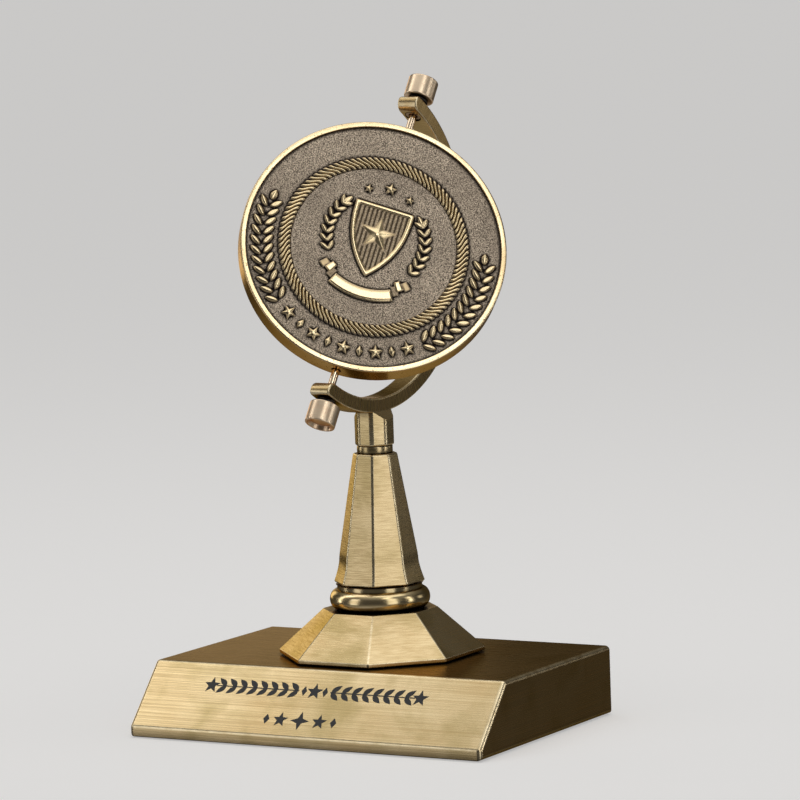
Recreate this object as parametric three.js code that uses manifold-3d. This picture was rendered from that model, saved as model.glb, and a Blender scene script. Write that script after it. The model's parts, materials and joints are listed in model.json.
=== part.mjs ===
// Spinning-coin trophy, in millimetres, +Z up. The origin is on the resting surface, under the
// column's axis. The plaque side faces -Y, and the pivot axis leans back towards +Y.
import * as THREE from 'three';
import { mergeVertices } from 'three/addons/utils/BufferGeometryUtils.js';
import Module from 'manifold-3d';

const wasm = await Module();
wasm.setup();

// Driving dimensions
const GAP = 0.3;                      // clearance between neighbouring pieces
const ROUND = 18;                     // sides of a small round piece
const FINE_ROUND = 36;                // sides of a larger turned piece
const COIN_SIDES = 72;
const ARM_SIDES = 160;                // sides of the cylinder that cuts the arm's seat

const PLINTH_WIDTH = 105;
const PLINTH_FRONT_FOOT = -42.4;      // y of the lip at the bottom of the plaque slope
const PLINTH_FRONT_TOP = -28.4;       // y where the slope meets the flat top
const PLINTH_BACK = 29.7;
const PLINTH_BOTTOM = 0.3;            // the felt stands this far proud of the shell
const PLINTH_LIP_TOP = 3.1;
const PLINTH_TOP = 18.4;
const PLINTH_WALL = 2.5;
const PLINTH_EDGE = 0.6;              // small bevel round the two end faces

const FELT_THICKNESS = 1.2;
const PLATE_THICKNESS = 1.2;
const PLATE_SETBACK = 1;              // keeps the plate's front edge clear of the slope
const SCREW_X = 43;
const SCREW_Y_FRONT = -23.4;
const SCREW_Y_BACK = 22;
const SCREW_RADIUS = 1.25;
const SCREW_HEAD_RADIUS = 2.8;
const SCREW_HEAD_HEIGHT = 0.85;
const SCREW_TIP = 10;
const SCREW_POINT = 1;                // length of its conical end
const SCREW_HEAD_EDGE = 0.45;         // chamfer round the head
const SLOT_WIDTH = 0.8;
const SLOT_DEPTH = 0.4;
const BOSS_RADIUS = 3.6;

const WEIGHT_WIDTH = 74;
const WEIGHT_FRONT = -26;
const WEIGHT_BACK = 25;
const WEIGHT_WELL_RADIUS = 9;

const ROD_RADIUS = 2.5;               // M5 tie rod
const ROD_BOTTOM = 8;
const ROD_TOP = 78.6;
const ROD_BORE = ROD_RADIUS + GAP;
const NUT_RADIUS = 4.6;               // M5 hexagon, to the corners
const NUT_HEIGHT = 4;
const TIE_WASHER_RADIUS = 7.5;
const TIE_WASHER_THICKNESS = 1;
const OCTAGON_BORE = 3.2;             // circumradius of the cast octagonal bore

const FOOT_BOTTOM_RADIUS = 27.3;      // octagon radii are to the corners
const FOOT_TOP_RADIUS = 15.2;
const FOOT_TOP = 30.5;
const FOOT_SKIRT = 1.1;
const FOOT_WALL = 3;                  // the casting is hollow underneath
const FOOT_RIM = 4;                   // width of the edge it stands on

const BEAD_BOTTOM = FOOT_TOP + GAP;
const BEAD_TOP = 37.1;
const BEAD_CENTRE = 33.2;
const BEAD_NECK_RADIUS = 11.2;
const BEAD_BULGE = 2.0;
const BEAD_HALF_HEIGHT = 2.3;

const COLUMN_BOTTOM = BEAD_TOP + GAP;
const COLUMN_TOP = 71.5;
const COLUMN_TOP_RADIUS = 5.9;
const COLUMN_WAIST_HEIGHT = 44.6;     // below this height the taper flares out
const COLUMN_WAIST_RADIUS = 10.5;
const COLUMN_BOTTOM_RADIUS = 12.2;

const NECK_RADIUS = 4.7;
const NECK_TOP = 73.2;
const COLLAR_BOTTOM = NECK_TOP + GAP;
const COLLAR_RADIUS = 5.3;
const COLLAR_SHOULDER = 79.4;         // the sides slope in from here to the width of the arm
const COLLAR_OVERLAP = 1;             // the blank stands this far above the arm's lowest point

const COIN_CENTRE_HEIGHT = 124.4;
const COIN_CENTRE_BACK = 2.4;         // coin's centre behind the column's axis
const HEAD_TURN = THREE.MathUtils.degToRad(-3.7);   // arm plane turned about the column
const PIVOT_TILT = THREE.MathUtils.degToRad(32.3);  // pivot axis from upright, leaning back
const COIN_TURN = THREE.MathUtils.degToRad(37.9);   // coin on its pivots, at rest

const ARM_INNER_RADIUS = 40;
const ARM_THICKNESS = 3.9;
const ARM_OUTER_RADIUS = ARM_INNER_RADIUS + ARM_THICKNESS;
const ARM_WIDTH = 6;
const ARM_FORWARD = 3.2;              // the arc's centre in front of the pivot axis
const ARM_TONGUE = 4.5;               // end of the arm in front of the pivot axis
const ARM_CORNER = 1.2;
const ARM_EDGE = 0.35;
const ARM_STEPS = 52;
const CORNER_STEPS = 4;

const PIN_RADIUS = 1.0;
const PIN_TIP = 29.3;                 // distances along the pivot axis, from the coin's centre
const PIN_TAIL = 48.4;
const PIN_TAPER = 0.4;
const BORE_RADIUS = PIN_RADIUS + GAP;
const ARM_BUSH_RADIUS = 2.0;
const ARM_BUSH_INNER_END = 40.0;      // both ends lie inside the arm's thickness
const ARM_BUSH_OUTER_END = 43.5;
const WASHER_RADIUS = 2.7;
const WASHER_THICKNESS = 0.6;
const KNOB_RADIUS = 4.0;
const KNOB_INNER = ARM_OUTER_RADIUS + WASHER_THICKNESS + 2 * GAP;
const KNOB_OUTER = 50.8;
const KNOB_EDGE = 0.3;
const KNOB_RECESS_RADIUS = 3.3;
const KNOB_RECESS_DEPTH = 1.2;

const COIN_RADIUS = 35;
const COIN_THICKNESS = 6.6;
const RIM_WIDTH = 1.3;
const RIM_CHAMFER = 0.3;
const FACE_RADIUS = COIN_RADIUS - RIM_WIDTH - GAP;
const FIELD_HEIGHT = 2.7;             // from the coin's middle plane to the sunken field
const ROPE_RADIUS = 23.4;
const ROPE_HALF_WIDTH = 1.65;
const ROPE_RELIEF = 0.55;
const EMBLEM_RELIEF = 0.5;
const EMBLEM_ROOT = 0.2;              // the emblem starts this far below the field
const SHIELD_HALF_WIDTH = 7;
const SHIELD_TOP = 9;
const SHIELD_POINT = -9.5;
const STAR_POINTS = 8;
const STAR_RADIUS = 12;
const STAR_INNER_RADIUS = 5;
const COIN_BUSH_RADIUS = 1.7;
const COIN_BUSH_INNER_END = 28;

// Materials
const antiqueBrass = metal('#b59a58', 0.34);
const coinBrass = metal('#8a7550', 0.42);
const rimBrass = metal('#c8a567', 0.28);
const roseCopper = metal('#d2a27c', 0.25);
const bushBronze = metal('#8c6a3c', 0.4);
const steel = metal('#9a9c9f', 0.4);
const castIron = metal('#4a4a4c', 0.7);
const felt = new THREE.MeshStandardMaterial({ color: '#16181a', roughness: 0.95, metalness: 0 });

function metal(color, roughness) {
  return new THREE.MeshStandardMaterial({ color, roughness, metalness: 1 });
}

// Solids: closed geometry to manifold and back
function solidOf(geometry) {
  const bare = geometry.index ? geometry.toNonIndexed() : geometry.clone();
  bare.deleteAttribute('normal');
  bare.deleteAttribute('uv');
  const merged = mergeVertices(bare, 1e-4);
  return new wasm.Manifold(new wasm.Mesh({
    numProp: 3,
    vertProperties: new Float32Array(merged.attributes.position.array),
    triVerts: new Uint32Array(merged.index.array),
  }));
}

function geometryOf(solid) {
  const mesh = solid.getMesh();
  const geometry = new THREE.BufferGeometry();
  geometry.setAttribute('position', new THREE.BufferAttribute(new Float32Array(mesh.vertProperties), 3));
  geometry.setIndex(new THREE.BufferAttribute(new Uint32Array(mesh.triVerts), 1));
  geometry.computeVertexNormals();
  return geometry;
}

function cut(geometry, ...tools) {
  return geometryOf(tools.reduce((solid, tool) => solid.subtract(solidOf(tool)), solidOf(geometry)));
}

function join(geometry, ...others) {
  return geometryOf(others.reduce((solid, other) => solid.add(solidOf(other)), solidOf(geometry)));
}

// Basic shapes, with their axis along +Z
function turned(profile, segments) {
  const points = profile.map(([radius, height]) => new THREE.Vector2(radius, height));
  const closed = profile[0][0] > 0 ? [...points, points[0].clone()] : points;
  return new THREE.LatheGeometry(closed, segments).rotateX(Math.PI / 2);
}

function octagonal(profile) {
  return turned(profile, 8).rotateZ(Math.PI / 8);
}

function rod(radius, bottom, top, segments = ROUND) {
  return turned([[0, bottom], [radius, bottom], [radius, top], [0, top]], segments);
}

function sleeve(innerRadius, outerRadius, bottom, top, segments = ROUND) {
  const profile = [[innerRadius, bottom], [outerRadius, bottom], [outerRadius, top], [innerRadius, top]];
  return turned(profile, segments);
}

function slab(xMin, xMax, yMin, yMax, zMin, zMax) {
  const box = new THREE.BoxGeometry(xMax - xMin, yMax - yMin, zMax - zMin);
  return box.translate((xMin + xMax) / 2, (yMin + yMax) / 2, (zMin + zMax) / 2);
}

function piece(name, geometry, material) {
  const mesh = new THREE.Mesh(geometry, material);
  mesh.name = name;
  return mesh;
}

// Plinth: a wedge-fronted shell, with what is screwed up inside it
function wedge(inset, bottom, bevel) {
  const slope = Math.atan2(PLINTH_TOP - PLINTH_LIP_TOP, PLINTH_FRONT_TOP - PLINTH_FRONT_FOOT);
  const lipTop = PLINTH_LIP_TOP - inset * Math.tan((Math.PI / 2 - slope) / 2);
  const topFront = PLINTH_FRONT_TOP + inset * Math.tan(slope / 2);
  const outline = new THREE.Shape([
    new THREE.Vector2(PLINTH_FRONT_FOOT + inset, bottom),
    new THREE.Vector2(PLINTH_BACK - inset, bottom),
    new THREE.Vector2(PLINTH_BACK - inset, PLINTH_TOP - inset),
    new THREE.Vector2(topFront, PLINTH_TOP - inset),
    new THREE.Vector2(PLINTH_FRONT_FOOT + inset, lipTop),
  ]);
  const length = PLINTH_WIDTH - 2 * inset - 2 * bevel;
  const solid = new THREE.ExtrudeGeometry(outline, {
    depth: length, bevelEnabled: bevel > 0, bevelSize: bevel, bevelThickness: bevel,
    bevelOffset: -bevel, bevelSegments: 2,
  });
  return solid.translate(0, 0, -length / 2).rotateX(Math.PI / 2).rotateZ(Math.PI / 2);
}

const screwPlaces = [
  [-SCREW_X, SCREW_Y_FRONT], [SCREW_X, SCREW_Y_FRONT],
  [-SCREW_X, SCREW_Y_BACK], [SCREW_X, SCREW_Y_BACK],
];
const plateBottom = FELT_THICKNESS + GAP;
const plateTop = plateBottom + PLATE_THICKNESS;
const ceiling = PLINTH_TOP - PLINTH_WALL;

function plinthShell() {
  const bosses = screwPlaces.map(([x, y]) =>
    sleeve(SCREW_RADIUS + GAP, BOSS_RADIUS, plateTop + GAP, ceiling + 0.5).translate(x, y, 0));
  const cavity = wedge(PLINTH_WALL, -1, 0);
  const hole = rod(ROD_BORE, ceiling - 1, PLINTH_TOP + 1);
  return join(cut(wedge(0, PLINTH_BOTTOM, PLINTH_EDGE), cavity, hole), ...bosses);
}

function insertOutline(top, bottom) {
  const inset = PLINTH_WALL + GAP;
  const x = PLINTH_WIDTH / 2 - inset;
  const front = PLINTH_FRONT_FOOT + inset + PLATE_SETBACK;
  return slab(-x, x, front, PLINTH_BACK - inset, bottom, top);
}

function feltPad() {
  const wells = screwPlaces.map(([x, y]) => rod(SCREW_HEAD_RADIUS + GAP, -1, 3).translate(x, y, 0));
  return cut(insertOutline(FELT_THICKNESS, 0), ...wells);
}

function basePlate() {
  const holes = screwPlaces.map(([x, y]) => rod(SCREW_RADIUS + GAP, 0, 5).translate(x, y, 0));
  return cut(insertOutline(plateTop, plateBottom), ...holes);
}

function baseScrew() {
  const headBottom = FELT_THICKNESS - SCREW_HEAD_HEIGHT;
  const body = turned([
    [0, headBottom], [SCREW_HEAD_RADIUS - SCREW_HEAD_EDGE, headBottom],
    [SCREW_HEAD_RADIUS, headBottom + SCREW_HEAD_EDGE],
    [SCREW_HEAD_RADIUS, FELT_THICKNESS], [SCREW_RADIUS, FELT_THICKNESS],
    [SCREW_RADIUS, SCREW_TIP - SCREW_POINT], [0, SCREW_TIP],
  ], ROUND);
  const reach = SCREW_HEAD_RADIUS + 1;
  return cut(body, slab(-reach, reach, -SLOT_WIDTH / 2, SLOT_WIDTH / 2, 0, headBottom + SLOT_DEPTH));
}

function plinthWeight() {
  const x = WEIGHT_WIDTH / 2;
  const block = slab(-x, x, WEIGHT_FRONT, WEIGHT_BACK, plateTop + GAP, ceiling - GAP);
  return cut(block, rod(WEIGHT_WELL_RADIUS, 0, PLINTH_TOP, FINE_ROUND));
}

// Column stack, from the foot up, clamped by the tie rod
function foot() {
  const bottom = PLINTH_TOP + GAP;
  return octagonal([
    [FOOT_BOTTOM_RADIUS, bottom], [FOOT_BOTTOM_RADIUS, bottom + FOOT_SKIRT],
    [FOOT_TOP_RADIUS, FOOT_TOP], [OCTAGON_BORE, FOOT_TOP], [OCTAGON_BORE, FOOT_TOP - FOOT_WALL],
    [FOOT_TOP_RADIUS - FOOT_WALL, FOOT_TOP - FOOT_WALL], [FOOT_BOTTOM_RADIUS - FOOT_RIM, bottom],
  ]);
}

function ringBead() {
  const bulge = [];
  const steps = 8;
  for (let step = 0; step <= steps; step += 1) {
    const angle = -Math.PI / 2 + (Math.PI * step) / steps;
    bulge.push([
      BEAD_NECK_RADIUS + BEAD_BULGE * Math.cos(angle),
      BEAD_CENTRE + BEAD_HALF_HEIGHT * Math.sin(angle),
    ]);
  }
  return turned([
    [ROD_BORE, BEAD_BOTTOM], [BEAD_NECK_RADIUS, BEAD_BOTTOM], ...bulge,
    [BEAD_NECK_RADIUS, BEAD_TOP], [ROD_BORE, BEAD_TOP],
  ], FINE_ROUND);
}

function column() {
  const flare = [];
  const steps = 4;
  for (let step = 0; step <= steps; step += 1) {
    const fraction = step / steps;
    flare.push([
      COLUMN_BOTTOM_RADIUS + (COLUMN_WAIST_RADIUS - COLUMN_BOTTOM_RADIUS) * Math.sin(fraction * Math.PI / 2),
      COLUMN_BOTTOM + (COLUMN_WAIST_HEIGHT - COLUMN_BOTTOM) * fraction,
    ]);
  }
  return octagonal([
    [OCTAGON_BORE, COLUMN_BOTTOM], ...flare,
    [COLUMN_TOP_RADIUS, COLUMN_TOP], [OCTAGON_BORE, COLUMN_TOP],
  ]);
}

// The arm's arc is centred here, in the frame of the head's turned plane: y back, z up.
const arcCentreY = -ARM_FORWARD * Math.cos(PIVOT_TILT);
const arcCentreHeight = COIN_CENTRE_HEIGHT + ARM_FORWARD * Math.sin(PIVOT_TILT);

function inHead(geometry) {
  return geometry.rotateZ(HEAD_TURN).translate(0, COIN_CENTRE_BACK, 0);
}

function collar() {
  const armBottom = arcCentreHeight - ARM_OUTER_RADIUS;
  const top = armBottom + COLLAR_OVERLAP;
  const prism = octagonal([
    [0, COLLAR_BOTTOM], [COLLAR_RADIUS, COLLAR_BOTTOM], [COLLAR_RADIUS, top], [0, top],
  ]);
  const halfWidth = ARM_WIDTH / 2;
  const beyond = 2 * COLLAR_RADIUS;
  const side = new THREE.Shape([
    new THREE.Vector2(halfWidth, top + 1), new THREE.Vector2(halfWidth, armBottom),
    new THREE.Vector2(COLLAR_RADIUS, COLLAR_SHOULDER), new THREE.Vector2(beyond, COLLAR_SHOULDER),
    new THREE.Vector2(beyond, top + 1),
  ]);
  const shoulder = new THREE.ExtrudeGeometry(side, { depth: 4 * beyond, bevelEnabled: false })
    .translate(0, 0, -2 * beyond).rotateX(Math.PI / 2);
  const otherShoulder = shoulder.clone().rotateZ(Math.PI);
  const seat = rod(ARM_OUTER_RADIUS + GAP, -beyond, beyond, ARM_SIDES).rotateY(Math.PI / 2)
    .translate(0, arcCentreY, arcCentreHeight);
  const bore = rod(ROD_BORE, COLLAR_BOTTOM - 1, ROD_TOP + GAP);
  return cut(prism, inHead(shoulder), inHead(otherShoulder), inHead(seat), bore);
}

// Head: everything on the tilted pivot axis. Here +Z is the pivot axis and +Y the arm's back.
function arc(x, y, radius, fromDegrees, toDegrees, steps) {
  const points = [];
  for (let step = 0; step <= steps; step += 1) {
    const angle = THREE.MathUtils.degToRad(fromDegrees + ((toDegrees - fromDegrees) * step) / steps);
    points.push(new THREE.Vector2(x + radius * Math.cos(angle), y + radius * Math.sin(angle)));
  }
  return points;
}

function arm() {
  const cornerX = -ARM_TONGUE + ARM_CORNER;
  const outerCorner = ARM_OUTER_RADIUS - ARM_CORNER;
  const innerCorner = ARM_INNER_RADIUS + ARM_CORNER;
  const outline = new THREE.Shape([
    ...arc(-ARM_FORWARD, 0, ARM_OUTER_RADIUS, -90, 90, ARM_STEPS),
    ...arc(cornerX, outerCorner, ARM_CORNER, 90, 180, CORNER_STEPS),
    ...arc(cornerX, innerCorner, ARM_CORNER, 180, 270, CORNER_STEPS),
    ...arc(-ARM_FORWARD, 0, ARM_INNER_RADIUS, 90, -90, ARM_STEPS),
    ...arc(cornerX, -innerCorner, ARM_CORNER, 90, 180, CORNER_STEPS),
    ...arc(cornerX, -outerCorner, ARM_CORNER, 180, 270, CORNER_STEPS),
  ]);
  const depth = ARM_WIDTH - 2 * ARM_EDGE;
  const bar = new THREE.ExtrudeGeometry(outline, {
    depth, bevelEnabled: true, bevelSize: ARM_EDGE, bevelThickness: ARM_EDGE,
    bevelOffset: -ARM_EDGE, bevelSegments: 1,
  });
  // The outline is drawn with x as the back direction and y as the pivot axis.
  bar.translate(0, 0, -depth / 2).rotateX(Math.PI / 2).rotateZ(Math.PI / 2);
  const beyond = ARM_OUTER_RADIUS + 5;
  return cut(bar, rod(ARM_BUSH_RADIUS + GAP, -beyond, beyond));
}

function pivotPin() {
  return turned([
    [0, PIN_TIP], [PIN_RADIUS - PIN_TAPER, PIN_TIP], [PIN_RADIUS, PIN_TIP + PIN_TAPER],
    [PIN_RADIUS, PIN_TAIL], [0, PIN_TAIL],
  ], ROUND);
}

function knob() {
  const recessFloor = KNOB_OUTER - KNOB_RECESS_DEPTH;
  return turned([
    [BORE_RADIUS, KNOB_INNER], [KNOB_RADIUS - KNOB_EDGE, KNOB_INNER], [KNOB_RADIUS, KNOB_INNER + KNOB_EDGE],
    [KNOB_RADIUS, KNOB_OUTER - KNOB_EDGE], [KNOB_RADIUS - KNOB_EDGE, KNOB_OUTER],
    [KNOB_RECESS_RADIUS, KNOB_OUTER], [KNOB_RECESS_RADIUS - KNOB_EDGE, recessFloor], [0, recessFloor],
    [0, PIN_TAIL + GAP], [BORE_RADIUS, PIN_TAIL + GAP],
  ], FINE_ROUND);
}

function coinBush() {
  const outerEnd = COIN_RADIUS - GAP;
  return turned([
    [0, COIN_BUSH_INNER_END], [COIN_BUSH_RADIUS, COIN_BUSH_INNER_END], [COIN_BUSH_RADIUS, outerEnd],
    [BORE_RADIUS, outerEnd], [BORE_RADIUS, PIN_TIP - GAP], [0, PIN_TIP - GAP],
  ], ROUND);
}

// Coin: two struck faces in a rim ring. The obverse faces -Y, and the design's up is +Z.
const pivotHole = rod(COIN_BUSH_RADIUS + GAP, COIN_BUSH_INNER_END - GAP, COIN_RADIUS + 5);
const oppositePivotHole = pivotHole.clone().rotateX(Math.PI);

function disc(profile) {
  return turned(profile, COIN_SIDES).rotateX(Math.PI / 2);
}

function coinRim() {
  const half = COIN_THICKNESS / 2;
  const inner = COIN_RADIUS - RIM_WIDTH;
  const ring = disc([
    [inner, -half], [COIN_RADIUS - RIM_CHAMFER, -half], [COIN_RADIUS, -half + RIM_CHAMFER],
    [COIN_RADIUS, half - RIM_CHAMFER], [COIN_RADIUS - RIM_CHAMFER, half], [inner, half],
  ]);
  return cut(ring, pivotHole, oppositePivotHole);
}

function emblem(outline) {
  const relief = new THREE.ExtrudeGeometry(outline, {
    depth: EMBLEM_RELIEF + EMBLEM_ROOT, bevelEnabled: false, curveSegments: 6,
  });
  return relief.translate(0, 0, FIELD_HEIGHT - EMBLEM_ROOT).rotateX(Math.PI / 2);
}

function shieldOutline() {
  const shield = new THREE.Shape();
  const bulge = SHIELD_HALF_WIDTH + 0.4;
  const shoulder = SHIELD_HALF_WIDTH - 2;
  shield.moveTo(-SHIELD_HALF_WIDTH, SHIELD_TOP);
  shield.lineTo(SHIELD_HALF_WIDTH, SHIELD_TOP);
  shield.bezierCurveTo(bulge, 0, shoulder, -6, 0, SHIELD_POINT);
  shield.bezierCurveTo(-shoulder, -6, -bulge, 0, -SHIELD_HALF_WIDTH, SHIELD_TOP);
  return shield;
}

function starOutline() {
  const corners = [];
  for (let index = 0; index < 2 * STAR_POINTS; index += 1) {
    const radius = index % 2 === 0 ? STAR_RADIUS : STAR_INNER_RADIUS;
    const angle = (Math.PI * index) / STAR_POINTS;
    corners.push(new THREE.Vector2(radius * Math.sin(angle), radius * Math.cos(angle)));
  }
  return new THREE.Shape(corners);
}

function coinFace(outline) {
  const blank = disc([
    [0, GAP / 2], [FACE_RADIUS, GAP / 2], [FACE_RADIUS, FIELD_HEIGHT],
    [ROPE_RADIUS + ROPE_HALF_WIDTH, FIELD_HEIGHT],
    [ROPE_RADIUS + ROPE_HALF_WIDTH / 2, FIELD_HEIGHT + ROPE_RELIEF],
    [ROPE_RADIUS - ROPE_HALF_WIDTH / 2, FIELD_HEIGHT + ROPE_RELIEF],
    [ROPE_RADIUS - ROPE_HALF_WIDTH, FIELD_HEIGHT], [0, FIELD_HEIGHT],
  ]);
  return cut(join(blank, emblem(outline)), pivotHole, oppositePivotHole);
}

// Assembly
const model = new THREE.Group();

model.add(
  piece('felt_pad', feltPad(), felt),
  piece('base_plate', basePlate(), steel),
  piece('plinth_shell', plinthShell(), antiqueBrass),
  piece('plinth_weight', plinthWeight(), castIron),
);
screwPlaces.forEach(([x, y], index) => {
  const screw = piece(`base_screw_${index + 1}`, baseScrew(), steel);
  screw.position.set(x, y, 0);
  model.add(screw);
});

const washerTop = ceiling - GAP;
const washerBottom = washerTop - TIE_WASHER_THICKNESS;
const nutTop = washerBottom - GAP;
const nut = cut(rod(NUT_RADIUS, nutTop - NUT_HEIGHT, nutTop, 6), rod(ROD_BORE, 0, PLINTH_TOP));
model.add(
  piece('tie_rod', rod(ROD_RADIUS, ROD_BOTTOM, ROD_TOP), steel),
  piece('tie_washer', sleeve(ROD_BORE, TIE_WASHER_RADIUS, washerBottom, washerTop), steel),
  piece('tie_nut', nut, steel),
  piece('foot', foot(), antiqueBrass),
  piece('ring_bead', ringBead(), antiqueBrass),
  piece('column', column(), antiqueBrass),
  piece('neck_ring', sleeve(ROD_BORE, NECK_RADIUS, COLUMN_TOP + GAP, NECK_TOP, FINE_ROUND), antiqueBrass),
  piece('collar', collar(), antiqueBrass),
);

const tilted = new THREE.Group();
tilted.rotation.x = -PIVOT_TILT;
tilted.add(piece('arm', arm(), antiqueBrass));
for (const [end, flip] of [['upper', 0], ['lower', Math.PI]]) {
  const side = new THREE.Group();
  side.rotation.x = flip;
  const washerInner = ARM_OUTER_RADIUS + GAP;
  side.add(
    piece(`${end}_arm_bush`,
      sleeve(BORE_RADIUS, ARM_BUSH_RADIUS, ARM_BUSH_INNER_END, ARM_BUSH_OUTER_END), bushBronze),
    piece(`${end}_thrust_washer`,
      sleeve(BORE_RADIUS, WASHER_RADIUS, washerInner, washerInner + WASHER_THICKNESS), steel),
    piece(`${end}_pivot_pin`, pivotPin(), roseCopper),
    piece(`${end}_knob`, knob(), roseCopper),
  );
  tilted.add(side);
}

const coin = new THREE.Group();
coin.rotation.z = COIN_TURN;
const reverse = piece('coin_reverse', coinFace(starOutline()), coinBrass);
reverse.rotation.z = Math.PI;
const lowerBush = piece('lower_coin_bush', coinBush(), bushBronze);
lowerBush.rotation.x = Math.PI;
coin.add(
  piece('coin_rim', coinRim(), rimBrass),
  piece('coin_obverse', coinFace(shieldOutline()), coinBrass),
  reverse,
  piece('upper_coin_bush', coinBush(), bushBronze),
  lowerBush,
);
tilted.add(coin);

const head = new THREE.Group();
head.position.set(0, COIN_CENTRE_BACK, COIN_CENTRE_HEIGHT);
head.rotation.z = HEAD_TURN;
head.add(tilted);
model.add(head);

export default model;
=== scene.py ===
"""Looks of a spinning-coin trophy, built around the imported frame.

Shapes are written in millimetres and turned into metres by MM. The stand's frame is the row's own:
+Z up, -Y out of the plaque. HEAD has +Z along the pivot axis and +Y towards the arm's back. COIN has
the same +Z, with the obverse facing its -Y.
"""
import json
import math

import bmesh
import bpy
import numpy as np
from mathutils import Matrix, Vector


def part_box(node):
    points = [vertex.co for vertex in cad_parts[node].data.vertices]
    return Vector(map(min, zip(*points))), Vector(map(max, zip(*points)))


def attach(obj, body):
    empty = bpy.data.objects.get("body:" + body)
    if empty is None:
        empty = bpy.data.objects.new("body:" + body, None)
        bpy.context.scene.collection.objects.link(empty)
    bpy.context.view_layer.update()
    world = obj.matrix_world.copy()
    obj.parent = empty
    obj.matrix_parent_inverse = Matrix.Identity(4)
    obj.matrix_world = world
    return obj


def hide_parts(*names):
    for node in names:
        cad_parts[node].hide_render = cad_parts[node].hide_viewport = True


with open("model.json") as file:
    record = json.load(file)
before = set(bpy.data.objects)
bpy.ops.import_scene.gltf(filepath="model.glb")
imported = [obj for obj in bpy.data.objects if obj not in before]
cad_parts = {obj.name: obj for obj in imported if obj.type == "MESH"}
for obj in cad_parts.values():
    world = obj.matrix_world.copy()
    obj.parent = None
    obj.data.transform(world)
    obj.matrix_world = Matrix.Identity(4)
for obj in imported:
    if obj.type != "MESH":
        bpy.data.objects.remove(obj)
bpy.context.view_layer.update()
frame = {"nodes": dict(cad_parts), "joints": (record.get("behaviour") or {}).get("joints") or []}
MM = 0.001

# Camera, set to the viewing angle of the reference
CAMERA_AZIMUTH = math.radians(30.13)
CAMERA_ELEVATION = math.radians(6.15)
CAMERA_ROLL = math.radians(-2.0)
CAMERA_DISTANCE = 1.1715
CAMERA_TARGET = Vector((0.00608, 0.00353, 0.08505))
CAMERA_LENS = 201.47
CAMERA_SENSOR = 36.0

# Softboxes: name, position, size in metres, radiance
LIGHT_FOCUS = Vector((0.0, 0.0, 0.09))
SOFTBOXES = (
    ("overhead", (0.0, 0.0, 0.84), (1.10, 0.64), 0.90),
    ("overhead_left", (-0.56, -0.16, 0.62), (0.26, 0.26), 1.9),
    ("left", (-0.50, -0.78, 0.20), (0.34, 0.80), 1.05),
    ("right", (0.84, -0.50, 0.24), (0.40, 0.90), 1.4),
    ("front_high", (0.52, -0.44, 0.75), (0.24, 0.24), 2.6),
    ("back_left", (-0.83, 0.54, 0.20), (0.34, 0.44), 1.3),
    ("back_low", (-0.58, 0.80, 0.12), (0.26, 0.24), 0.6),
    ("back_right", (0.58, 0.62, 0.20), (0.20, 0.22), 0.8),
    ("edge_left", (-0.87, -0.23, 0.25), (0.14, 0.70), 2.5),
    ("edge_right", (0.87, 0.23, 0.25), (0.14, 0.70), 2.5),
)
# The surroundings' brightness by direction, from 0 straight down to 1 straight up, 0.5 level
SKY = (
    (0.0, 0.42), (0.25, 0.30), (0.38, 0.08), (0.50, 0.05), (0.72, 0.06), (0.84, 0.19), (1.0, 0.60),
)
FLOOR_GLOW = 0.43
# The floor and the wall that it curves up into, in metres
FLOOR_REACH = 4.5
WALL_HEIGHT = 4.0
WALL_LIFT = 0.001
WALL_ROWS = 24
WALL_SIDES = 96

# Looks-only sizes, in millimetres
SHARP_DEGREES = 35
BORE_SIDES = 48
BORE_REACH = 60.0
PLINTH_ROUNDING = 1.3
PLINTH_FOOT_ROUNDING = 0.25
PLINTH_WALL = 2.5
PLINTH_STEPS = 6
TIE_BORE = 2.8
CASTING_BORE = 3.2
FOOT_ROUNDING = 0.9
FOOT_RIM_ROUNDING = 0.35
COLUMN_ROUNDING = 1.2
COLUMN_FOOT_ROUNDING = 0.4
COLUMN_TOP_ROUNDING = 0.6
FLARE_RADIUS = 40.0
BEAD_HALF_HEIGHT = 2.6
BEAD_STEPS = 24
BEAD_LIP = 0.3
BEAD_LIP_HEIGHT = 0.2
NECK_OVERLAP = 0.25
NECK_ROUNDING = 0.25
COLLAR_BORE = 0.5
COLLAR_ROUNDING = 2.1
COLLAR_FOOT_ROUNDING = 0.6
COLLAR_SOFTENING = 0.35
# The collar's block starts this much too tall, and the cuts shorten it
COLLAR_SPARE = 6.0
SEAT_DEPTH = 0.1
SEAT_GRIP = 0.05
# How far above the arm's lowest point the two 45-degree shoulders would meet, and their ends across
SHOULDER_RIDGE = 3.15
SHOULDER_SPAN = (2.2, 9.0)
SHOULDER_CUT = 12.0
ARC_STEPS = 120
ARM_ROUNDING = 0.5
ARM_THICKNESS = 3.9
ARM_FORWARD = 3.2
ARM_CORNER = 1.2
ARM_INNER_CORNER = 2.4
ARM_BORE = 2.2
KNOB_RADIUS = 4.0
KNOB_BORE = 1.15
KNOB_SOCKET = 2.0
KNOB_RECESS = 3.35
KNOB_RECESS_DEPTH = 1.2
KNOB_DRAFT = 0.35
KNOB_DISH = 1.6
KNOB_DISH_RISE = 0.15
KNOB_ROUNDINGS = (0, 0.35, 0.35, 0.15, 0.2, 0.1, 0)
PIN_RADIUS = 1.0
PIN_POINT = 0.6
PIN_END = 46.4

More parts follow.
